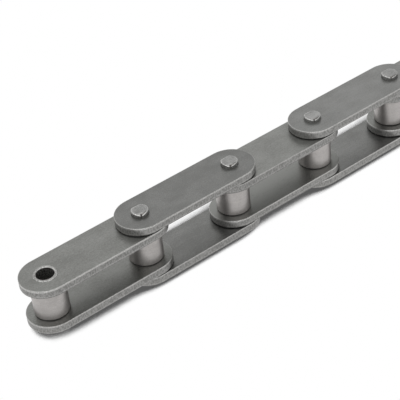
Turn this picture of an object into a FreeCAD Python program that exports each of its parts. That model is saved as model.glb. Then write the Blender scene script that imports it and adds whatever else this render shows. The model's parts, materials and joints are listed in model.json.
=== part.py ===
import FreeCAD, Part
import math
import os

# A strand of heavy double-pitch roller chain, lying on its side with the pins upright.
# Inner links (two plates pressed on two bushes, each bush carrying a free roller) and
# outer links (two plates pressed on two pins) follow each other along X, one pitch each.
# The strand is drawn with its pins along Z, then laid down as it comes to rest: it leans
# on the lower pin ends and the +Y edges of the lower outer plates. The origin is below the
# middle of the strand, on the surface that it lies on. All lengths are in millimetres.

# Driving sizes of the chain
pitch = 50.8
link_count = 5
inner_width = 15.75
plate_height = 23.4
inner_plate_thickness = 4.0
outer_plate_thickness = 4.0
plate_edge_chamfer = 0.2

# Roller, bush and pin
roller_diameter = 15.88
roller_edge_chamfer = 0.3
bush_diameter = 10.8
bush_edge_chamfer = 0.3
bush_bore_chamfer = 0.2
bush_proud = 0.25
pin_diameter = 7.92
pin_proud = 1.87
pin_end_chamfer = 0.3
pin_flat_offset = 3.35

# Running clearances
pin_clearance = 0.08
roller_clearance = 0.08
roller_end_play = 0.2
link_side_play = 0.12

# Levels along the pins, from the lower pin ends up to the middle of the chain
outer_low = pin_proud
inner_low = outer_low + outer_plate_thickness + link_side_play + bush_proud
gap_low = inner_low + inner_plate_thickness
mid_level = gap_low + inner_width / 2.0

bush_bore_radius = pin_diameter / 2.0 + pin_clearance
roller_bore_radius = bush_diameter / 2.0 + roller_clearance

# How the strand lies: it turns about X until plate edge and pin foot meet the surface
pin_foot = pin_flat_offset - pin_end_chamfer
plate_foot = plate_height / 2.0 - plate_edge_chamfer
lean = math.atan2(outer_low, plate_foot - pin_foot)


def axis_x(station):
    """Place along X of the pin axis at this station, counted from the left end."""
    return (station - link_count / 2.0) * pitch


def mirrored_level(level):
    """The same level seen from the other side of the chain's middle."""
    return 2.0 * mid_level - level


def arc(radius, start, end, centre_x=0.0):
    """Arc edge in the plane Z = 0 about (centre_x, 0), from angle start to end."""
    points = []
    for angle in (start, (start + end) / 2.0, end):
        points.append(FreeCAD.Vector(centre_x + radius * math.cos(angle), radius * math.sin(angle), 0))
    return Part.Arc(*points).toShape()


def line(start, end):
    return Part.LineSegment(FreeCAD.Vector(*start), FreeCAD.Vector(*end)).toShape()


def revolve(profile, x):
    """Turn a closed outline of (radius, level) points about the vertical axis at x."""
    points = [FreeCAD.Vector(x + radius, 0, level) for radius, level in profile]
    face = Part.Face(Part.makePolygon(points + points[:1]))
    return face.revolve(FreeCAD.Vector(x, 0, 0), FreeCAD.Vector(0, 0, 1), 360)


def edges_at(shape, level):
    """Edges that lie flat at this level."""
    found = []
    for edge in shape.Edges:
        box = edge.BoundBox
        if abs(box.ZMin - level) < 1e-4 and abs(box.ZMax - level) < 1e-4:
            found.append(edge)
    return found


def flatted_round(radius, flat, low, high, x):
    """Upright round bar with one flat, which faces +Y, from level low to high."""
    corner = math.asin(flat / radius)
    half_chord = radius * math.cos(corner)
    outline = Part.Wire([
        arc(radius, math.pi - corner, 2.0 * math.pi + corner),
        line((half_chord, flat, 0), (-half_chord, flat, 0)),
    ])
    bar = Part.Face(outline).extrude(FreeCAD.Vector(0, 0, high - low))
    bar.translate(FreeCAD.Vector(x, 0, low))
    return bar


def blank(station, low, thickness):
    """Round-ended plate from one pin axis to the next, its sharp edges taken off."""
    left = axis_x(station)
    right = axis_x(station + 1)
    half = plate_height / 2.0
    outline = Part.Wire([
        line((left, -half, 0), (right, -half, 0)),
        arc(half, -math.pi / 2.0, math.pi / 2.0, right),
        line((right, half, 0), (left, half, 0)),
        arc(half, math.pi / 2.0, 1.5 * math.pi, left),
    ])
    plate = Part.Face(outline).extrude(FreeCAD.Vector(0, 0, thickness))
    rims = edges_at(plate, 0.0) + edges_at(plate, thickness)
    plate = plate.makeChamfer(plate_edge_chamfer, rims)
    plate.translate(FreeCAD.Vector(0, 0, low))
    return plate


def inner_plate(station, low):
    """Plate with two round holes, pressed on the bushes."""
    plate = blank(station, low, inner_plate_thickness)
    for end in (station, station + 1):
        foot = FreeCAD.Vector(axis_x(end), 0, low)
        plate = plate.cut(Part.makeCylinder(bush_diameter / 2.0, inner_plate_thickness, foot))
    return plate


def outer_plate(station, low):
    """Plate with two flatted holes, which keep the pins from turning."""
    plate = blank(station, low, outer_plate_thickness)
    for end in (station, station + 1):
        hole = flatted_round(
            pin_diameter / 2.0, pin_flat_offset, low, low + outer_plate_thickness, axis_x(end))
        plate = plate.cut(hole)
    return plate


def bush(station):
    """Plain tube that stands a little proud of both inner plates."""
    low = inner_low - bush_proud
    high = mirrored_level(low)
    outside = bush_diameter / 2.0
    bore = bush_bore_radius
    return revolve([
        (bore, low + bush_bore_chamfer),
        (bore + bush_bore_chamfer, low),
        (outside - bush_edge_chamfer, low),
        (outside, low + bush_edge_chamfer),
        (outside, high - bush_edge_chamfer),
        (outside - bush_edge_chamfer, high),
        (bore + bush_bore_chamfer, high),
        (bore, high - bush_bore_chamfer),
    ], axis_x(station))


def roller(station):
    """Free roller on its bush, with chamfered rims."""
    low = gap_low + roller_end_play
    high = mirrored_level(low)
    outside = roller_diameter / 2.0
    bore = roller_bore_radius
    return revolve([
        (bore, low),
        (outside - roller_edge_chamfer, low),
        (outside, low + roller_edge_chamfer),
        (outside, high - roller_edge_chamfer),
        (outside - roller_edge_chamfer, high),
        (bore, high),
    ], axis_x(station))


def pin(station):
    """Round pin whose two ends are flatted where they sit in the outer plates."""
    x = axis_x(station)
    radius = pin_diameter / 2.0
    shoulder = outer_low + outer_plate_thickness
    top = mirrored_level(0.0)
    journal = Part.makeCylinder(
        radius, mirrored_level(shoulder) - shoulder, FreeCAD.Vector(x, 0, shoulder))
    low_end = flatted_round(radius, pin_flat_offset, 0.0, shoulder, x)
    low_end = low_end.makeChamfer(pin_end_chamfer, edges_at(low_end, 0.0))
    high_end = flatted_round(radius, pin_flat_offset, mirrored_level(shoulder), top, x)
    high_end = high_end.makeChamfer(pin_end_chamfer, edges_at(high_end, top))
    return journal.fuse([low_end, high_end]).removeSplitter()


def laid(shape):
    """The upright shape as it lies, leaning towards +Y on the surface Z = 0."""
    shape.rotate(FreeCAD.Vector(0, 0, 0), FreeCAD.Vector(1, 0, 0), -math.degrees(lean))
    shape.translate(FreeCAD.Vector(0, -mid_level * math.sin(lean), pin_foot * math.sin(lean)))
    return shape


def inner_link(number, station):
    """Inner link from this station to the next: two plates, two bushes, two rollers."""
    name = "inner_link_%d" % number
    pieces = {
        name + "_lower_plate": inner_plate(station, inner_low),
        name + "_upper_plate": inner_plate(station, mirrored_level(inner_low + inner_plate_thickness)),
    }
    for side, end in ((1, station), (2, station + 1)):
        pieces["%s_bush_%d" % (name, side)] = bush(end)
        pieces["%s_roller_%d" % (name, side)] = roller(end)
    return pieces


def outer_link(number, station):
    """Outer link from this station to the next: two plates and two pins."""
    name = "outer_link_%d" % number
    pieces = {
        name + "_lower_plate": outer_plate(station, outer_low),
        name + "_upper_plate": outer_plate(station, mirrored_level(outer_low + outer_plate_thickness)),
    }
    for side, end in ((1, station), (2, station + 1)):
        pieces["%s_pin_%d" % (name, side)] = pin(end)
    return pieces


def strand():
    """All pieces of the strand, which begins and ends with an inner link."""
    pieces = {}
    for place in range(link_count):
        number = place // 2 + 1
        if place % 2 == 0:
            pieces.update(inner_link(number, place))
        else:
            pieces.update(outer_link(number, place))
    return pieces


os.makedirs("parts", exist_ok=True)
for node, upright in strand().items():
    piece = laid(upright)
    piece.exportStep("parts/%s.step" % node)
    print("%-28s solids %d valid %s volume %.1f" % (
        node, len(piece.Solids), piece.isValid(), piece.Volume))
print("leans %.3f degrees, middle of the strand at Z = %.4f" % (
    math.degrees(lean), mid_level * math.cos(lean) + pin_foot * math.sin(lean)))
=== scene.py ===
import json
import math

import bmesh
import bpy
import numpy as np
from mathutils import Matrix, Vector


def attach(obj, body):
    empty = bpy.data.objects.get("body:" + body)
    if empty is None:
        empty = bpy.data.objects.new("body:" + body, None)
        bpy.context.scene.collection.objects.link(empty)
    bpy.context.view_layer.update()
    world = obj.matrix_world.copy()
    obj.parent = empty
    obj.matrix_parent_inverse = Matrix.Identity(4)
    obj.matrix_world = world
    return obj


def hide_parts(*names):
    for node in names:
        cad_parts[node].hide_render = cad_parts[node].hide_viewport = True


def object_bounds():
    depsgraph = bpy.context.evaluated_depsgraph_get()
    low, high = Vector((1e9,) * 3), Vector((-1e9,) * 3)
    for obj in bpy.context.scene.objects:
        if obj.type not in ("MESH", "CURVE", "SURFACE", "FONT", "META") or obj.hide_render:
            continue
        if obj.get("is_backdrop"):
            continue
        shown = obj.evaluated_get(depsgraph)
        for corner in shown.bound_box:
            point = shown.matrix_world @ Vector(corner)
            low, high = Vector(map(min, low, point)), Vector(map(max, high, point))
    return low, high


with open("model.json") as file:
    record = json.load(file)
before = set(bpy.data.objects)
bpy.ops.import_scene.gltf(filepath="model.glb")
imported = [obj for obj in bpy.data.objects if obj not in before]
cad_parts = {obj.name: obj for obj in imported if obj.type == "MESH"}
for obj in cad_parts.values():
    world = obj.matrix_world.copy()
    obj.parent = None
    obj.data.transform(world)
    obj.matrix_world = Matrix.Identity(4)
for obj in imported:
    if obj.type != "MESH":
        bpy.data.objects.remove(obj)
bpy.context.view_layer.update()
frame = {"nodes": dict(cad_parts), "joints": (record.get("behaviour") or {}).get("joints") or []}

# Camera
# It stands at the left front, about 0.6 m away and well above the chain, and is rolled a little.
# Its lens and sensor are in millimetres.
camera_place = Vector((-0.312436, -0.308721, 0.459028))
camera_azimuth = math.radians(40.9028)
camera_drop = math.radians(46.7016)
camera_roll = math.radians(3.1181)
lens_length = 118.73
sensor_width = 36.0

camera = bpy.data.objects.new("camera", bpy.data.cameras.new("camera"))
camera.data.lens = lens_length
camera.data.sensor_width = sensor_width
looking = Vector((
    math.sin(camera_azimuth) * math.cos(camera_drop),
    math.cos(camera_azimuth) * math.cos(camera_drop),
    -math.sin(camera_drop)))
aim = looking.to_track_quat("-Z", "Y").to_matrix().to_4x4()
camera.matrix_world = Matrix.Translation(camera_place) @ aim @ Matrix.Rotation(camera_roll, 4, "Z")
bpy.context.scene.collection.objects.link(camera)
bpy.context.scene.camera = camera
bpy.context.scene.view_settings.view_transform = "Standard"


# Floor and room
# A matt white sweep in a pale room. The camera and the steel's reflections see both as white. The
# floor that they see darkens where the chain hides the space about the main light's direction.
class Wire:
    """An output socket in a node tree. Sums, differences and products of wires add their Math nodes."""

    def __init__(self, tree, socket=None):
        self.tree = tree
        self.socket = socket

    def node(self, kind, settings=None, sockets=None, output=0):
        """Add a node: its settings first, then values or wires for its sockets, by name or number."""
        made = self.tree.nodes.new(kind)
        for name, value in (settings or {}).items():
            setattr(made, name, value)
        for name, value in (sockets or {}).items():
            if isinstance(value, Wire):
                self.tree.links.new(value.socket, made.inputs[name])
            else:
                made.inputs[name].default_value = value
        return Wire(self.tree, made.outputs[output] if made.outputs else None)

    def reckoned(self, operation, first, second):
        """The result of a Math node on two wires or numbers."""
        return self.node("ShaderNodeMath", {"operation": operation}, {0: first, 1: second})

    def __add__(self, other):
        return self.reckoned("ADD", self, other)

    def __sub__(self, other):
        return self.reckoned("SUBTRACT", self, other)

    def __rsub__(self, other):
        return self.reckoned("SUBTRACT", other, self)

    def __mul__(self, other):
        return self.reckoned("MULTIPLY", self, other)

    __radd__ = __add__
    __rmul__ = __mul__

    def between(self, low, high):
        """0 up to the low value and 1 from the high value on, with a smooth step between them."""
        return self.node(
            "ShaderNodeMapRange", {"interpolation_type": "SMOOTHSTEP"}, {0: self, 1: low, 2: high})

    def colours(self, first, second):
        """A colour that goes from the first to the second as this wire goes from 0 to 1."""
        return self.node("ShaderNodeMix", {"data_type": "RGBA"}, {0: self, 6: first, 7: second}, output=2)


def seen_outright(wires):
    """1 for rays from the camera and for what steel mirrors or glass lets through, and 0 for the rest."""
    kinds = ("Is Camera Ray", "Is Glossy Ray", "Is Transmission Ray")
    camera_ray, mirrored, through = (wires.node("ShaderNodeLightPath", output=kind) for kind in kinds)
    return wires.reckoned("MINIMUM", camera_ray + mirrored + through, 1.0)


floor_half = 3.0
floor_colour = (0.80, 0.80, 0.79, 1.0)
white = (1.0, 1.0, 1.0, 1.0)
room_light = 0.8

# The shade is full where less than shadow_full of the space about the main light is open, and gone
# where more than shadow_gone of it is. Pieces further off than shadow_reach don't count.
main_light = (0.16, -0.17, 0.97)
shadow_core = (0.10, 0.10, 0.10, 1.0)
shadow_full = 0.375
shadow_gone = 0.49
shadow_reach = 0.05
shadow_samples = 32

sweep = bpy.data.materials.new("white_sweep")
sweep.use_nodes = True
sweep.node_tree.nodes.clear()
wires = Wire(sweep.node_tree)
light_direction = wires.node("ShaderNodeCombineXYZ", sockets=dict(enumerate(main_light)))
open_share = wires.node("ShaderNodeAmbientOcclusion", {"samples": shadow_samples},
                        {"Distance": shadow_reach, "Normal": light_direction}, output="AO")
shade = open_share.between(shadow_full, shadow_gone).colours(shadow_core, white)
lit = wires.node("ShaderNodeBsdfDiffuse", sockets={"Color": floor_colour})
bright = wires.node("ShaderNodeEmission", sockets={"Color": shade, "Strength": 1.0})
surface = wires.node("ShaderNodeMixShader", sockets={0: seen_outright(wires), 1: lit, 2: bright})
wires.node("ShaderNodeOutputMaterial", sockets={"Surface": surface})

floor_mesh = bpy.data.meshes.new("floor")
corners = [(-floor_half, -floor_half, 0), (floor_half, -floor_half, 0),
           (floor_half, floor_half, 0), (-floor_half, floor_half, 0)]
floor_mesh.from_pydata(corners, [], [(0, 1, 2, 3)])
floor_mesh.materials.append(sweep)
floor = bpy.data.objects.new("floor", floor_mesh)
bpy.context.scene.collection.objects.link(floor)
floor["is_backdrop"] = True

room = bpy.data.worlds.new("room")
room.use_nodes = True
room.node_tree.nodes.clear()
wires = Wire(room.node_tree)
plain = (room_light, room_light, room_light, 1.0)
glow = wires.node("ShaderNodeBackground", sockets={"Color": seen_outright(wires).colours(plain, white)})
wires.node("ShaderNodeOutputWorld", sockets={"Surface": glow})
bpy.context.scene.world = room


# Lamps
# A broad softbox above the chain and a little behind it lights the upper faces, and a weaker one at
# the left front lights the edges and rollers that face the camera.
def softbox(name, place, size, brightness):
    """A square lamp that faces the strand. Its power is its brightness times its area times pi."""
    lamp = bpy.data.lights.new(name, "AREA")
    lamp.shape = "SQUARE"
    lamp.size = size
    lamp.energy = brightness * size * size * math.pi
    holder = bpy.data.objects.new(name, lamp)
    holder.location = place
    holder.rotation_euler = (-Vector(place)).to_track_quat("-Z", "Y").to_euler()
    bpy.context.scene.collection.objects.link(holder)


softbox("overhead_softbox", place=(-0.1, 0.25, 0.95), size=0.8, brightness=1.5)
softbox("front_softbox", place=(-0.75, -0.75, 0.25), size=0.4, brightness=0.8)


# Plates
# Each link has two round-ended plates, blanked from 4 mm steel strip and tumbled until the corners
# are round. The punch leaves a smooth land and a torn band round the edge. The land's bright colour is
# partly a painted highlight where the upper corner catches the light from above, and the foot of the
# edge is partly painted shade. The holes are round where a bush is pressed in, and have a flat where
# a pin must not turn.

# The strand lies on its side. Each piece is worked out in the chain's own directions (along it,
# across it, along its pins) from the strand's middle, and is then laid as the frame lies.
hinges = {joint["name"]: joint for joint in frame["joints"]}
pin_direction = np.array(hinges["outer_link_1_hinge"]["axis"])
chain_direction = np.array((1.0, 0.0, 0.0))
directions = np.array((chain_direction, np.cross(pin_direction, chain_direction), pin_direction))
strand_middle = np.array((0.0, *hinges["outer_link_1_hinge"]["pos_m"][1:]))
lean = math.atan2(pin_direction[1], pin_direction[2])


def upright(node):
    """The points of a CAD node, measured from the strand's middle in the chain's own directions."""
    mesh = frame["nodes"][node].data
    points = np.empty(3 * len(mesh.vertices), np.float32)
    mesh.vertices.foreach_get("co", points)
    return (points.reshape(-1, 3) - strand_middle) @ directions.T


def ripple(points, seed, size):
    """Soft uneven field of about -1 to 1: the scaled sum of sine waves of about this size, each with
    its direction and its start drawn from the seed."""
    draw = np.random.default_rng(seed)
    waves = 14
    ways = draw.normal(size=(waves, 3)) * math.tau / (size * math.sqrt(3.0))
    starts = draw.uniform(0.0, math.tau, waves)
    return np.sin(points @ ways.T + starts).sum(-1) / math.sqrt(waves)


def grid_faces(rows, columns, ring_rows=True):
    """Corner numbers of a grid's faces, as rows by columns by 4. The last column meets the first, and
    so does the last row where the rows make a ring too."""
    row, column = np.meshgrid(np.arange(rows - (not ring_rows)), np.arange(columns), indexing="ij")
    below = (row + 1) % rows
    beside = (column + 1) % columns
    return np.stack((
        row * columns + column, below * columns + column,
        below * columns + beside, row * columns + beside), axis=-1)


weld_distance = 2e-7
crisp_angle = math.radians(35)


def finished(name, body, points, faces, marks, material):
    """Lay grid points as the strand lies, weld the seams and poles, turn the faces outwards, and let
    the piece ride in place of its CAD node. Edges sharper than 35 degrees stay crisp."""
    mesh = bpy.data.meshes.new(name)
    laid = strand_middle + points @ directions
    mesh.from_pydata(laid.tolist(), [], faces.tolist())
    for mark, values in marks.items():
        mesh.attributes.new(mark, "FLOAT", "POINT").data.foreach_set("value", values.astype(np.float32))
    welded = bmesh.new()
    welded.from_mesh(mesh)
    bmesh.ops.remove_doubles(welded, verts=welded.verts, dist=weld_distance)
    bmesh.ops.recalc_face_normals(welded, faces=welded.faces)
    welded.to_mesh(mesh)
    welded.free()
    mesh.shade_smooth()
    mesh.set_sharp_from_angle(angle=crisp_angle)
    mesh.materials.append(material)
    made = bpy.data.objects.new(name + "_steel", mesh)
    bpy.context.scene.collection.objects.link(made)
    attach(made, body)
    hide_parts(name)


def new_steel(name):
    """An empty material and a wire on its node tree."""
    material = bpy.data.materials.new(name)
    material.use_nodes = True
    material.node_tree.nodes.clear()
    return material, Wire(material.node_tree)


speckle_detail = 3.0


def speckle(wires, along, across, upwards):
    """Noise of about 0.3 to 0.7 whose blotches are this long along the chain, across it and along
    the pins."""
    place = wires.node("ShaderNodeTexCoord", output="Object")
    turned_place = wires.node("ShaderNodeMapping", {"vector_type": "TEXTURE"}, {
        "Vector": place, "Location": tuple(strand_middle), "Rotation": (-lean, 0.0, 0.0),
        "Scale": (along, across, upwards)})
    return wires.node("ShaderNodeTexNoise", sockets={
        "Vector": turned_place, "Scale": 1.0, "Detail": speckle_detail})


def mark_of(wires, name):
    """A mark that the mesh carries at its points."""
    return wires.node("ShaderNodeAttribute", {"attribute_name": name}, output="Fac")


def steel_surface(wires, colour, metal, roughness, height, depth):
    """Bare steel of this colour and roughness, with relief of this height over this depth. The part
    that isn't metal stands for the thin film of oil and oxide."""
    normal = wires.node("ShaderNodeBump", sockets={"Strength": 1.0, "Distance": depth, "Height": height})
    skin = wires.node("ShaderNodeBsdfPrincipled", sockets={
        "Base Color": colour, "Metallic": metal, "Roughness": roughness, "Normal": normal})
    wires.node("ShaderNodeOutputMaterial", sockets={"Surface": skin})


# Blotch sizes along the chain, across it and along the pins, then the colours of the edge. The
# land's colours are partly a painted highlight, and the burr's colour is partly painted shade.
cloud_size = (0.012, 0.008, 0.008)
streak_size = (0.006, 0.0005, 0.0005)
grit_size = (0.0006, 0.00045, 0.00045)
tear_size = (0.0005, 0.0005, 0.0011)
torn_dark = (0.195, 0.193, 0.187, 1.0)
torn_light = (0.315, 0.312, 0.303, 1.0)
land_highlight_dark = (0.33, 0.328, 0.318, 1.0)
land_highlight_light = (0.56, 0.555, 0.54, 1.0)
burr_and_shade_colour = (0.16, 0.158, 0.153, 1.0)
plate_metal = 0.9
plate_relief = 0.00004


def plate_steel(name, face_dark, face_light):
    """Tumbled strip. A face blends its two colours by a tone of clouds, faint streaks along the chain
    and grit, plus the plate's own tone, which on most lower plates is painted light against the shade
    of the plate above. An edge has a bright land of clean shear under the upper corner, partly a
    painted highlight of the light from above, fine upright tears in the broken band below it, and a
    dull burr at the foot, partly painted shade."""
    material, wires = new_steel(name)
    side = mark_of(wires, "side")
    land_and_highlight = mark_of(wires, "land_and_highlight")
    burr_and_shade = mark_of(wires, "burr_and_shade")
    clouds = speckle(wires, *cloud_size)
    streaks = speckle(wires, *streak_size)
    grit = speckle(wires, *grit_size)
    tears = speckle(wires, *tear_size)
    # The plate's own tone is partly painted light, lifting most lower plates against the shade above.
    tone = clouds * 0.35 + streaks * 0.15 + grit * 0.5 + mark_of(wires, "batch_and_painted_light")
    face = tone.between(0.32, 0.68).colours(face_dark, face_light)
    broken = tears.between(0.36, 0.64).colours(torn_dark, torn_light)
    # The land's colours are partly a painted highlight, and the burr's colour is partly painted shade.
    land_colours_and_highlight = grit.between(0.35, 0.65).colours(land_highlight_dark, land_highlight_light)
    edge = burr_and_shade.colours(land_and_highlight.colours(broken, land_colours_and_highlight), burr_and_shade_colour)
    colour = side.colours(face, edge)
    torn = side * (1.0 - land_and_highlight)
    roughness = 0.27 + 0.12 * tone + 0.10 * torn
    height = streaks * 0.25 + grit * 0.35 + torn * tears * 1.8
    steel_surface(wires, colour, plate_metal, roughness, height, plate_relief)
    return material


# The roundings of a plate's corners and of its holes' rims, the rows of points on each, the shares of
# the way from a rim to the edge where a face has rows, and the points along each stretch of outline.
corner_radius = 0.00025
corner_rows = 5
wall_rows = 19
rim_radius = 0.0002
rim_rows = 3
face_stations = (0.012, 0.2, 0.45, 0.7, 0.9, 0.965, 0.99)
round_points = 97
straight_points = 45
middle_points = 26


def half_outline(half_height, reach):
    """Half a round-ended plate seen from above, about its hole: points and outward directions. They go
    round the half circle, along one straight side to the plate's middle, up the middle line and back
    along the other side. Points on the middle line have no outward direction."""
    turn = np.linspace(0.5 * math.pi, 1.5 * math.pi, round_points)
    run = np.linspace(0.0, reach, straight_points)[1:]
    climb = np.linspace(-1.0, 1.0, middle_points)[1:-1] * (half_height - corner_radius)
    still = np.zeros_like
    points = np.concatenate((
        np.stack((half_height * np.cos(turn), half_height * np.sin(turn)), 1),
        np.stack((run, still(run) - half_height), 1),
        np.stack((still(climb) + reach, climb), 1),
        np.stack((run[::-1], still(run) + half_height), 1)))
    outward = np.concatenate((
        np.stack((np.cos(turn), np.sin(turn)), 1),
        np.stack((still(run), still(run) - 1.0), 1),
        np.stack((still(climb), still(climb)), 1),
        np.stack((still(run), still(run) + 1.0), 1)))
    return points, outward


def hole_reach(angle, radius, flat):
    """How far a hole reaches from its centre: its radius, or less where the flat on its +Y side cuts it."""
    return np.minimum(radius, flat / np.maximum(np.sin(angle), 1e-6))


def edge_rows(thickness):
    """The edge from the top face round and down to the bottom face: how far in each row lies and how
    far down, with a quarter circle at each corner."""
    quarter = np.linspace(0.0, 0.5 * math.pi, corner_rows)
    wall = np.linspace(corner_radius, thickness - corner_radius, wall_rows)[1:-1]
    inset = corner_radius * (1 - np.sin(quarter))
    drop = corner_radius * (1 - np.cos(quarter))
    return (np.concatenate((inset, np.zeros(len(wall)), inset[::-1]))[:, None],
            np.concatenate((drop, wall, thickness - drop[::-1]))[:, None])


# What the press leaves on an edge, in shares of the plate's thickness: how deep the land goes, how
# wide the second band is, how far below it the burr starts, and how far each line wanders and fades.
# The land and the second band are partly painted highlights, and the burr is partly painted shade.
land_share = 0.19
land_wander = 0.02
land_fade = 0.03
band_width = 0.05
band_wander = 0.015
burr_below = 0.10
burr_wander = 0.012
burr_fade = 0.05

# How much deeper the land is at a round end, how strong the band and the burr are, how much of the
# edge's look is left where its rounded corner meets a face, and what share of that is one row inside.
# The land and the band are partly painted highlights, and the burr is partly painted shade.
land_gain = 0.4
band_strength = 0.5
burr_shade_strength = 0.5
rubbed_face = 0.25
rubbed_rim = 0.3

# How long the lines' waves and the tears are, and how deep the tears are at least and at most.
wander_length = 0.004
tear_length = 0.0012
torn_least = 0.00001
torn_most = 0.00005


def edge_marks(around, outward, inset, down, thickness, shear, band, seed):
    """What the press left on the edge, as marks of 0 to 1, and how far in the steel is torn. The land of
    clean shear is full down to an uneven line under the upper corner, deeper round the ends, and faint
    in a second band at this share of the way down, and the strip below that is a dull burr. The land
    and the band are partly painted highlights of the light from above, and the burr is partly painted
    shade. The broken part is sunk by a few hundredths of a millimetre, in tears twice as long upwards
    as along the edge. The plate's middle line has no marks."""
    places = np.repeat(around[None], len(down), 0)
    places[:, :, 2] = down
    wander = ripple(around, seed, wander_length)[None]
    share = down / thickness
    land_depth = land_share * shear * (1 + land_gain * np.abs(outward[:, 0])) + land_wander * wander
    first = np.clip((land_depth - share) / land_fade, 0, 1)
    second = band_strength * np.exp(-((share - band - band_wander * wander) / band_width) ** 2)
    burr_and_shade = burr_shade_strength * np.clip((share - band - burr_below - burr_wander * wander) / burr_fade, 0, 1)
    roughened = np.clip(0.5 + 0.5 * ripple(places * (1, 1, 0.5), seed + 1, tear_length), 0, 1)
    upright_part = 1 - inset / corner_radius
    side = np.broadcast_to(rubbed_face + (1 - rubbed_face) * upright_part, places.shape[:2])
    torn = torn_least + (torn_most - torn_least) * roughened
    sunk = upright_part * (1 - first) * (1 - 2 * second) * torn
    marks = {"side": side, "land_and_highlight": shear * np.maximum(first, second), "burr_and_shade": burr_and_shade}
    return {mark: values * outward.any(1) for mark, values in marks.items()}, sunk


def plate(name, body, hole_radius, hole_flat, seed, batch_and_painted_light, shear, band, material):
    """A plate in the place of its CAD node. Each half is a grid of rays from its hole by stations:
    up the hole's wall, out over the top face, round and down the edge, and back under the bottom
    face. The blend along a face goes from the hole's rim to the edge. The edge's marks, with their
    painted highlight and painted shade, run out over the last row of each face, which tumbling has
    scoured too."""
    node = upright(name)
    low, high = node.min(0), node.max(0)
    middle_x = (low[0] + high[0]) / 2
    half_height = (high[1] - low[1]) / 2
    thickness = high[2] - low[2]
    reach = (high[0] - low[0]) / 2 - half_height
    outline, outward = half_outline(half_height, reach)
    angle = np.arctan2(outline[:, 1], outline[:, 0])
    if hole_flat < hole_radius:
        bend = math.asin(hole_flat / hole_radius)
        for corner in (bend, math.pi - bend):
            angle[np.argmin(np.abs(angle - corner))] = corner

    quarter = np.linspace(0.0, 0.5 * math.pi, rim_rows)
    rim_in = rim_radius * (1 - np.sin(quarter))
    rim_down = rim_radius * (1 - np.cos(quarter))
    rim_offset = np.concatenate((rim_in, rim_in[::-1]))[:, None]
    rim_level = np.concatenate((low[2] + rim_down, high[2] - rim_down[::-1]))[:, None]
    reach_in = hole_reach(angle[None], hole_radius + rim_offset, hole_flat + rim_offset)
    rim_points = np.stack((
        reach_in * np.cos(angle), reach_in * np.sin(angle), np.broadcast_to(rim_level, reach_in.shape)), 2)
    share = np.array(face_stations)[:, None, None]

    inset, down = edge_rows(thickness)
    before = len(rim_points) + len(share)
    rows = before + len(down) + len(share)
    squares = grid_faces(rows, len(outline))
    at_middle = ~outward.any(1)
    at_middle = at_middle | np.roll(at_middle, -1)
    row = np.arange(rows)
    on_edge = (row >= before) & (row < before + len(down) - 1)
    squares = squares[~(on_edge[:, None] & at_middle[None])]

    halves, marks = [], {"side": [], "land_and_highlight": [], "burr_and_shade": []}
    for mirror in (1.0, -1.0):
        around = np.column_stack(((outline[:, 0] - reach) * mirror, outline[:, 1], np.zeros(len(outline))))
        found, sunk = edge_marks(around, outward, inset, down, thickness, shear, band, seed)
        edge_xy = outline[None] - outward[None] * (inset + sunk)[:, :, None]
        edge_points = np.concatenate((edge_xy, np.broadcast_to(high[2] - down, sunk.shape)[:, :, None]), 2)
        top = rim_points[-1] * (1 - share) + edge_points[0] * share
        under = rim_points[0] * (1 - share[::-1]) + edge_points[-1] * share[::-1]
        half = np.concatenate((rim_points, top, edge_points, under))
        half[:, :, 0] = middle_x + (half[:, :, 0] - reach) * mirror
        halves.append(half.reshape(-1, 3))
        for mark, values in found.items():
            rubbed_and_painted_light = np.pad(values, ((1, 1), (0, 0)), "edge")
            if mark == "side":
                rubbed_and_painted_light[[0, -1]] *= rubbed_rim
            marks[mark].append(np.pad(rubbed_and_painted_light, ((before - 1, len(share) - 1), (0, 0))).ravel())
    marks = {mark: np.concatenate(values) for mark, values in marks.items()}
    marks["batch_and_painted_light"] = np.full(2 * len(halves[0]), batch_and_painted_light)
    faces = np.concatenate((squares, squares + len(halves[0])))
    finished(name, body, np.concatenate(halves), faces, marks, material)


def turned_sizes(name):
    """A turned CAD node's axis along the chain, least and greatest radius, and lowest and highest level."""
    points = upright(name)
    x = (points[:, 0].min() + points[:, 0].max()) / 2
    radius = np.hypot(points[:, 0] - x, points[:, 1])
    return x, radius.min(), radius.max(), points[:, 2].min(), points[:, 2].max()


shoulder_level = upright("outer_link_1_upper_plate")[:, 2].min()


def pin_flat(name):
    """Distance from a pin's axis to its flats: how far the outer half of its ends reaches towards +Y."""
    points = upright(name)
    halfway = (points[:, 2].max() + shoulder_level) / 2
    return points[np.abs(points[:, 2]) > halfway][:, 1].max()


inner_steel = plate_steel(
    "inner_plate_steel", face_dark=(0.165, 0.1665, 0.157, 1.0), face_light=(0.255, 0.2575, 0.246, 1.0))
outer_steel = plate_steel(
    "outer_plate_steel", face_dark=(0.155, 0.156, 0.150, 1.0), face_light=(0.245, 0.246, 0.239, 1.0))
bush_radius = turned_sizes("inner_link_1_bush_1")[2]
pin_radius = turned_sizes("outer_link_1_pin_1")[2]
flat_offset = pin_flat("outer_link_1_pin_1")

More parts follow.
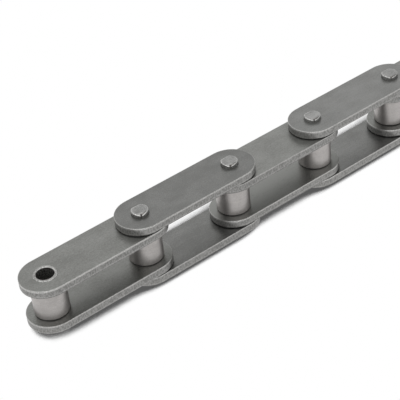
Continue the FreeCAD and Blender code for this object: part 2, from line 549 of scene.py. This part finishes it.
# Each plate's link and level, how much lighter its faces are, how strongly its edge is sheared, and
# how far down its second band lies. The lighter faces are partly the blank's batch and partly painted
# light: most lower plates are lifted against the shade of the plate above.
inner_plates = (
    (1, "lower", 0.05, 0.85, 0.88),
    (1, "upper", -0.01, 1.0, 0.80),
    (2, "lower", 0.15, 0.9, 0.76),
    (2, "upper", 0.045, 0.7, 0.77),
    (3, "lower", 0.03, 0.9, 0.80),
    (3, "upper", 0.02, 0.9, 0.80),
)
outer_plates = (
    (1, "lower", -0.04, 0.8, 0.84),
    (1, "upper", -0.075, 0.9, 0.79),
    (2, "lower", 0.0, 0.9, 0.82),
    (2, "upper", 0.03, 0.9, 0.84),
)
for number, level, batch_and_painted_light, shear, band in inner_plates:
    seed = 10 * number + 2 * (level == "upper")
    plate(f"inner_link_{number}_{level}_plate", f"inner_link_{number}", bush_radius, bush_radius,
          seed, batch_and_painted_light, shear, band, inner_steel)
for number, level, batch_and_painted_light, shear, band in outer_plates:
    seed = 100 + 10 * number + 2 * (level == "upper")
    plate(f"outer_link_{number}_{level}_plate", f"outer_link_{number}", pin_radius, flat_offset,
          seed, batch_and_painted_light, shear, band, outer_steel)


# Bushes
# A ground steel tube in each roller, pressed through both inner plates until its ends stand a little
# proud. The ends are faced, and their broken edges show as thin bright rings round the dark bore,
# partly wear and partly a painted highlight, brightest on the side that faces the camera. The bore's
# wall is painted lighter, partly the pin's polish and partly painted light, and on the side that
# faces the camera it is painted dark, as painted shade.
arc_steps = 5


def softened(corners, radii):
    """Closed outline of (x, y) corners, each given way to an arc that touches both its sides.
    The arc's points blend its two ends as seen from its centre, by the sines of the angle so far and
    the angle still to go."""
    radii = radii[:, None]
    back = np.roll(corners, 1, 0) - corners
    ahead = np.roll(corners, -1, 0) - corners
    back /= np.linalg.norm(back, axis=1)[:, None]
    ahead /= np.linalg.norm(ahead, axis=1)[:, None]
    half = np.arccos(np.clip((back * ahead).sum(1), -1, 1))[:, None] / 2
    inward = back + ahead
    centre = corners + inward / np.linalg.norm(inward, axis=1)[:, None] * radii / np.sin(half)
    first = corners + back * radii / np.tan(half) - centre
    last = corners + ahead * radii / np.tan(half) - centre
    sweep_angle = math.pi - 2 * half
    share = np.linspace(0, 1, arc_steps + 1)
    blend_first = (np.sin((1 - share) * sweep_angle) / np.sin(sweep_angle))[:, :, None]
    blend_last = (np.sin(share * sweep_angle) / np.sin(sweep_angle))[:, :, None]
    arcs = centre[:, None] + blend_first * first[:, None] + blend_last * last[:, None]
    return arcs.reshape(-1, 2)


# The bright colour of rubbed edges, partly a painted highlight, and the dark colour of dirt, partly painted
# shade.
rubbed_and_highlight_colour = (0.70, 0.695, 0.68, 1.0)
dirt_and_shade_colour = (0.05, 0.042, 0.037, 1.0)
rings_per_metre = 6000.0
drift_per_metre = 60.0
ring_detail = 2.0
stain_size = 0.005
speck_size = 0.0005


def turned_steel(name, dark, light, metal, roughness, ring_depth):
    """Ground or turned steel. Its two colours blend by a tone of fine rings that follow the profile,
    stains and specks. Rubbed edges, partly wear and partly painted highlight, are bright where the
    specks let them through, and a dark colour, partly grime and partly painted shade, covers both
    where the mesh is marked for it."""
    material, wires = new_steel(name)
    place = wires.node("ShaderNodeTexCoord", output="Object")
    slow = wires.node("ShaderNodeVectorMath", {"operation": "SCALE"}, {0: place, "Scale": drift_per_metre})
    along = wires.node("ShaderNodeCombineXYZ", sockets={2: mark_of(wires, "run") * rings_per_metre})
    ringed = wires.node("ShaderNodeVectorMath", {"operation": "ADD"}, {0: slow, 1: along})
    rings = wires.node("ShaderNodeTexNoise", sockets={
        "Vector": ringed, "Scale": 1.0, "Detail": ring_detail})
    stains = speckle(wires, stain_size, stain_size, stain_size)
    specks = speckle(wires, speck_size, speck_size, speck_size)
    tone = rings * 0.3 + stains * 0.35 + specks * 0.35
    body = tone.between(0.36, 0.64).colours(dark, light)
    # Painted highlight and wear: bright specks on the marked edges; painted shade and grime over both.
    rubbed_and_painted_light = mark_of(wires, "rubbed_and_painted_light") * specks.between(0.40, 0.60)
    worn_and_highlight = rubbed_and_painted_light.colours(body, rubbed_and_highlight_colour)
    colour = mark_of(wires, "marred_and_painted_shade").colours(worn_and_highlight, dirt_and_shade_colour)
    steel_surface(wires, colour, metal, roughness + 0.14 * (tone - 0.5), rings + 0.3 * specks, ring_depth)
    return material


row_spacing = 0.001
turn_points = 128
# The bearing of the side that faces the camera, where the painted highlight and painted shade are
# strongest.
near_bearing = math.radians(225.0)


def turned(name, body, profile, x, material):
    """A closed profile carried round the axis at x, with a row of points at least every millimetre.
    Each corner of the profile has a radius, a level, a rounding, how much wear it shows and how much
    grime. Both are most at 225 degrees round, on the side that faces the camera, where they are partly
    painted highlight and painted shade. There the wear is 1.25 times what the corner says, and
    opposite it 0.75 times, where the grime fades to nothing."""
    profile = np.array(profile)
    outline = softened(profile[:, :2], profile[:, 2])
    outline = np.concatenate((outline, outline[:1]))
    worn_and_highlight = np.repeat(profile[:, 3], arc_steps + 1)
    worn_and_highlight = np.append(worn_and_highlight, worn_and_highlight[0])
    grimy_and_shaded = np.repeat(profile[:, 4], arc_steps + 1)
    grimy_and_shaded = np.append(grimy_and_shaded, grimy_and_shaded[0])
    length = np.concatenate(((0.0,), np.cumsum(np.linalg.norm(np.diff(outline, axis=0), axis=1))))
    run = np.sort(np.concatenate((length, np.arange(row_spacing, length[-1], row_spacing))))
    run = run[np.diff(run, prepend=-1.0) > 1e-6][:-1]
    angle = np.linspace(0, math.tau, turn_points + 1)[:-1]
    radius = np.interp(run, length, outline[:, 0])[:, None]
    level = np.interp(run, length, outline[:, 1])[:, None]
    along, across = radius * np.cos(angle), radius * np.sin(angle)
    points = np.stack((x + along, across, np.broadcast_to(level, along.shape)), 2)
    # The painted highlight and shade grow towards the side that faces the camera.
    near_side = 0.5 + 0.5 * np.cos(angle - near_bearing)
    marks = {
        "run": np.repeat(run, len(angle)),
        "rubbed_and_painted_light": np.outer(np.interp(run, length, worn_and_highlight), 0.75 + 0.5 * near_side).ravel(),
        "marred_and_painted_shade": np.outer(np.interp(run, length, grimy_and_shaded), near_side).ravel()}
    faces = grid_faces(*points.shape[:2]).reshape(-1, 4)
    finished(name, body, points.reshape(-1, 3), faces, marks, material)


bush_steel = turned_steel(
    "bush_steel", dark=(0.22, 0.22, 0.212, 1.0), light=(0.33, 0.33, 0.32, 1.0),
    metal=0.92, roughness=0.30, ring_depth=0.000006)
outer_break = 0.0003
bore_break = 0.0002
rounding = 0.00012
# Each corner: radius, level, rounding, wear and grime. On the bore the wear is painted light and the grime
# painted shade; on the ends the wear is partly a painted highlight.
for number in (1, 2, 3):
    for side in (1, 2):
        name = f"inner_link_{number}_bush_{side}"
        x, bore, outside, low, high = turned_sizes(name)
        turned(name, f"inner_link_{number}", (
            (bore, low + bore_break, rounding, 1.0, 0.9),
            (bore + bore_break, low, rounding, 0.95, 0.8),
            (outside - outer_break, low, rounding, 0.3, 0.0),
            (outside, low + outer_break, rounding, 0.8, 0.0),
            (outside, high - outer_break, rounding, 0.8, 0.0),
            (outside - outer_break, high, rounding, 0.3, 0.0),
            (bore + bore_break, high, rounding, 0.95, 0.8),
            (bore, high - bore_break, rounding, 1.0, 0.9)), x, bush_steel)


# Rollers
# Free rollers of hardened steel on the bushes, tumbled to a satin finish and lightly polished by
# running. Their rims are narrow.
roller_steel = turned_steel(
    "roller_steel", dark=(0.365, 0.348, 0.338, 1.0), light=(0.475, 0.454, 0.441, 1.0),
    metal=0.87, roughness=0.38, ring_depth=0.000006)
rim = 0.0003
rim_rounding = 0.0003
bore_rounding = 0.00015
for number in (1, 2, 3):
    for side in (1, 2):
        name = f"inner_link_{number}_roller_{side}"
        x, bore, outside, low, high = turned_sizes(name)
        turned(name, name, (
            (bore, low, bore_rounding, 0.0, 0.0),
            (outside - rim, low, rim_rounding, 0.0, 0.0),
            (outside, low + rim, rim_rounding, 0.0, 0.0),
            (outside, high - rim, rim_rounding, 0.0, 0.0),
            (outside - rim, high, rim_rounding, 0.0, 0.0),
            (bore, high, bore_rounding, 0.0, 0.0)), x, roller_steel)


# Pins
# Hardened pins pressed into the outer plates. A flat milled on each end sits in the flatted hole. The
# ends stand proud, faced, with a bright broken edge, partly wear and partly a painted highlight, and a
# chisel has struck a notch into the rim of each, which keeps the pin in its plate. The notch is
# painted dark, partly grime and partly painted shade.
ring_points = 144
flat_points = 19


def pin_ring(radius, flat):
    """Round section with a flat on its +Y side: an arc from one corner of the flat round to the other,
    then evenly along the flat. With no flat it closes as a plain circle of the same points."""
    bend = math.asin(min(1.0, flat / radius))
    turn = np.linspace(math.pi - bend, math.tau + bend, ring_points - flat_points)
    half_chord = radius * math.cos(bend)
    across = np.linspace(half_chord, -half_chord, flat_points + 2)[1:-1]
    return np.stack((
        np.concatenate((radius * np.cos(turn), across)),
        np.concatenate((radius * np.sin(turn), np.full(flat_points, flat)))), 1)


# Where the dent and the groove lie, in shares of the pin's radius.
dent_start = 0.62
groove_inside = 0.75
groove_outside = 0.9

# How far the dent and the cut in it reach round the rim to each side, then the cut's depth and how
# far the steel bulges out, as shares of the dent's depth.
dent_width = 0.0019
cut_width = 0.0005
cut_depth = 0.6
bulge = 0.6

# The angles past the notch, in radians, at which the groove is full and ends, and over which it fades.
groove_rise = 0.1
groove_end = 1.1
groove_fade = 0.4


def marred_and_painted_shade(bearing, share, at, depth):
    """What a chisel has done to the rim at this angle: how far the steel is pushed down, how far out,
    and how dark it is painted, partly grime and partly painted shade. The dent is a wide bell curve of
    the distance round the rim with a narrow V cut in its middle, and both grow from the dent's start
    to the rim. The steel of the dent bulges out. A dark groove, partly grime and partly painted shade,
    runs on inside the rim, to one side of the dent."""
    turned_past = (bearing - math.radians(at) + math.pi) % math.tau - math.pi
    aside = pin_radius * np.abs(turned_past)
    grown = np.clip((share - dent_start) / (1 - dent_start), 0, 1)
    grown = grown * grown * (3 - 2 * grown)
    dent = np.exp(-(aside / dent_width) ** 2) * grown
    cut = np.clip(1 - aside / cut_width, 0, 1) * grown
    along_groove = np.minimum(turned_past / groove_rise, (groove_end - turned_past) / groove_fade)
    groove = (groove_inside < share < groove_outside) * np.clip(along_groove, 0, 1)
    # Painted shade and grime: the cut, the dent and the groove are darkened.
    dirt_and_shade = np.clip(cut + 0.5 * dent * (share < groove_outside) + 0.5 * groove, 0, 1)
    return depth * (dent + cut_depth * cut), bulge * depth * (dent - cut), dirt_and_shade


pin_chamfer = 0.0003
plate_top_level = upright("outer_link_1_upper_plate")[:, 2].max()

# The rings of an end, from its pole. On the face they are shares of the section. Round the broken edge
# and down the flank they say how far in and how far down they lie, in chamfers, and how rubbed they
# are, partly wear and partly a painted highlight. Below that they are shares of the way from the end
# to the plate's inner face, and on the journal shares of that face's distance from the pin's middle.
face_rings = (0.0, 0.3, 0.5, 0.62, 0.7, 0.78)
edge_rings = (
    (2.0, 0.0, 0.0),
    (1.6, 0.0, 0.6),
    (1.0, 0.0, 0.9),
    (0.7, 0.07, 0.9),
    (0.29, 0.29, 0.9),
    (0.06, 0.7, 0.6),
    (0.0, 1.0, 0.3),
    (0.0, 1.7, 0.1),
    (0.0, 2.7, 0.25),
    (0.0, 4.2, 0.3),
)
end_rings = (0.5, 0.75, 1.0)
journal_rings = (1.0, 0.98, 0.6, 0.2)
# The bearing at which the pin's edge is painted brightest, a painted highlight.
highlight_bearing = math.radians(150.0)


def pin(name, body, notch, material):
    """Rings of the pin's section from pole to pole: faced end, broken edge, flatted end as far as the
    plate's inner face, round journal, and the same again. The notch moves the rings of each end down
    and out, and fades to nothing at the plate. The edge's bright wear, partly a painted highlight, is
    strongest at 150 degrees round."""
    x, _, radius, low, high = turned_sizes(name)
    flat = pin_flat(name)
    full = pin_ring(radius, flat)
    bearing = np.arctan2(full[:, 1], full[:, 0])
    circle = radius * np.stack((np.cos(bearing), np.sin(bearing)), 1)
    # Painted highlight: the edge is brightest towards 150 degrees round.
    highlight_by_bearing = 0.5 + 0.3 * np.cos(bearing - highlight_bearing)
    proud = high - plate_top_level
    rings, marks = [], {"run": [], "rubbed_and_painted_light": [], "marred_and_painted_shade": []}
    for end, level in ((-1.0, low), (1.0, high)):
        top = [(full * share, share, 0.0, 0.0) for share in face_rings]
        for inside, drop, worn_and_highlight in edge_rings:
            ring = pin_ring(radius - inside * pin_chamfer, flat - inside * pin_chamfer)
            top.append((ring, 1 - inside * pin_chamfer / radius, drop * pin_chamfer, worn_and_highlight))
        ends = []
        for ring, share, drop, worn_and_highlight in top:
            down, out, dirt_and_shade = marred_and_painted_shade(bearing, share, *notch)
            fade = 1 - drop / proud
            ends.append((ring * (1 + out * fade / radius)[:, None], level - end * (drop + down * fade),
                         share * radius + drop, worn_and_highlight * highlight_by_bearing * (1 - dirt_and_shade), dirt_and_shade * fade))
        step = end * shoulder_level
        ends += [(full, level + (step - level) * share, 2 * radius + abs(step - level) * share, 0.0, 0.0)
                 for share in end_rings]
        ends += [(circle, step * share, 3 * radius + abs(step) * (1 - share), 0.0, 0.0)
                 for share in journal_rings]
        for ring, height, *values in ends if end < 0 else ends[::-1]:
            rings.append(np.column_stack((x + ring[:, 0], ring[:, 1], np.broadcast_to(height, len(ring)))))
            for mark, value in zip(marks, values):
                marks[mark].append(np.broadcast_to(value, len(ring)))
    points = np.stack(rings)
    marks = {mark: np.concatenate(values) for mark, values in marks.items()}
    faces = grid_faces(*points.shape[:2], ring_rows=False).reshape(-1, 4)
    finished(name, body, points.reshape(-1, 3), faces, marks, material)


pin_steel = turned_steel(
    "pin_steel", dark=(0.19, 0.19, 0.185, 1.0), light=(0.35, 0.35, 0.342, 1.0),
    metal=0.92, roughness=0.34, ring_depth=0.00001)

# The bearing of each pin's notch, in degrees, and its depth, by link and side.
notches = {
    (1, 1): (-116.0, 0.0006),
    (1, 2): (-122.0, 0.00055),
    (2, 1): (-119.0, 0.0005),
    (2, 2): (-122.0, 0.0005),
}
for (number, side), notch in notches.items():
    pin(f"outer_link_{number}_pin_{side}", f"outer_link_{number}", notch, pin_steel)

# The box round the dressed strand, without the floor.
low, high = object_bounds()
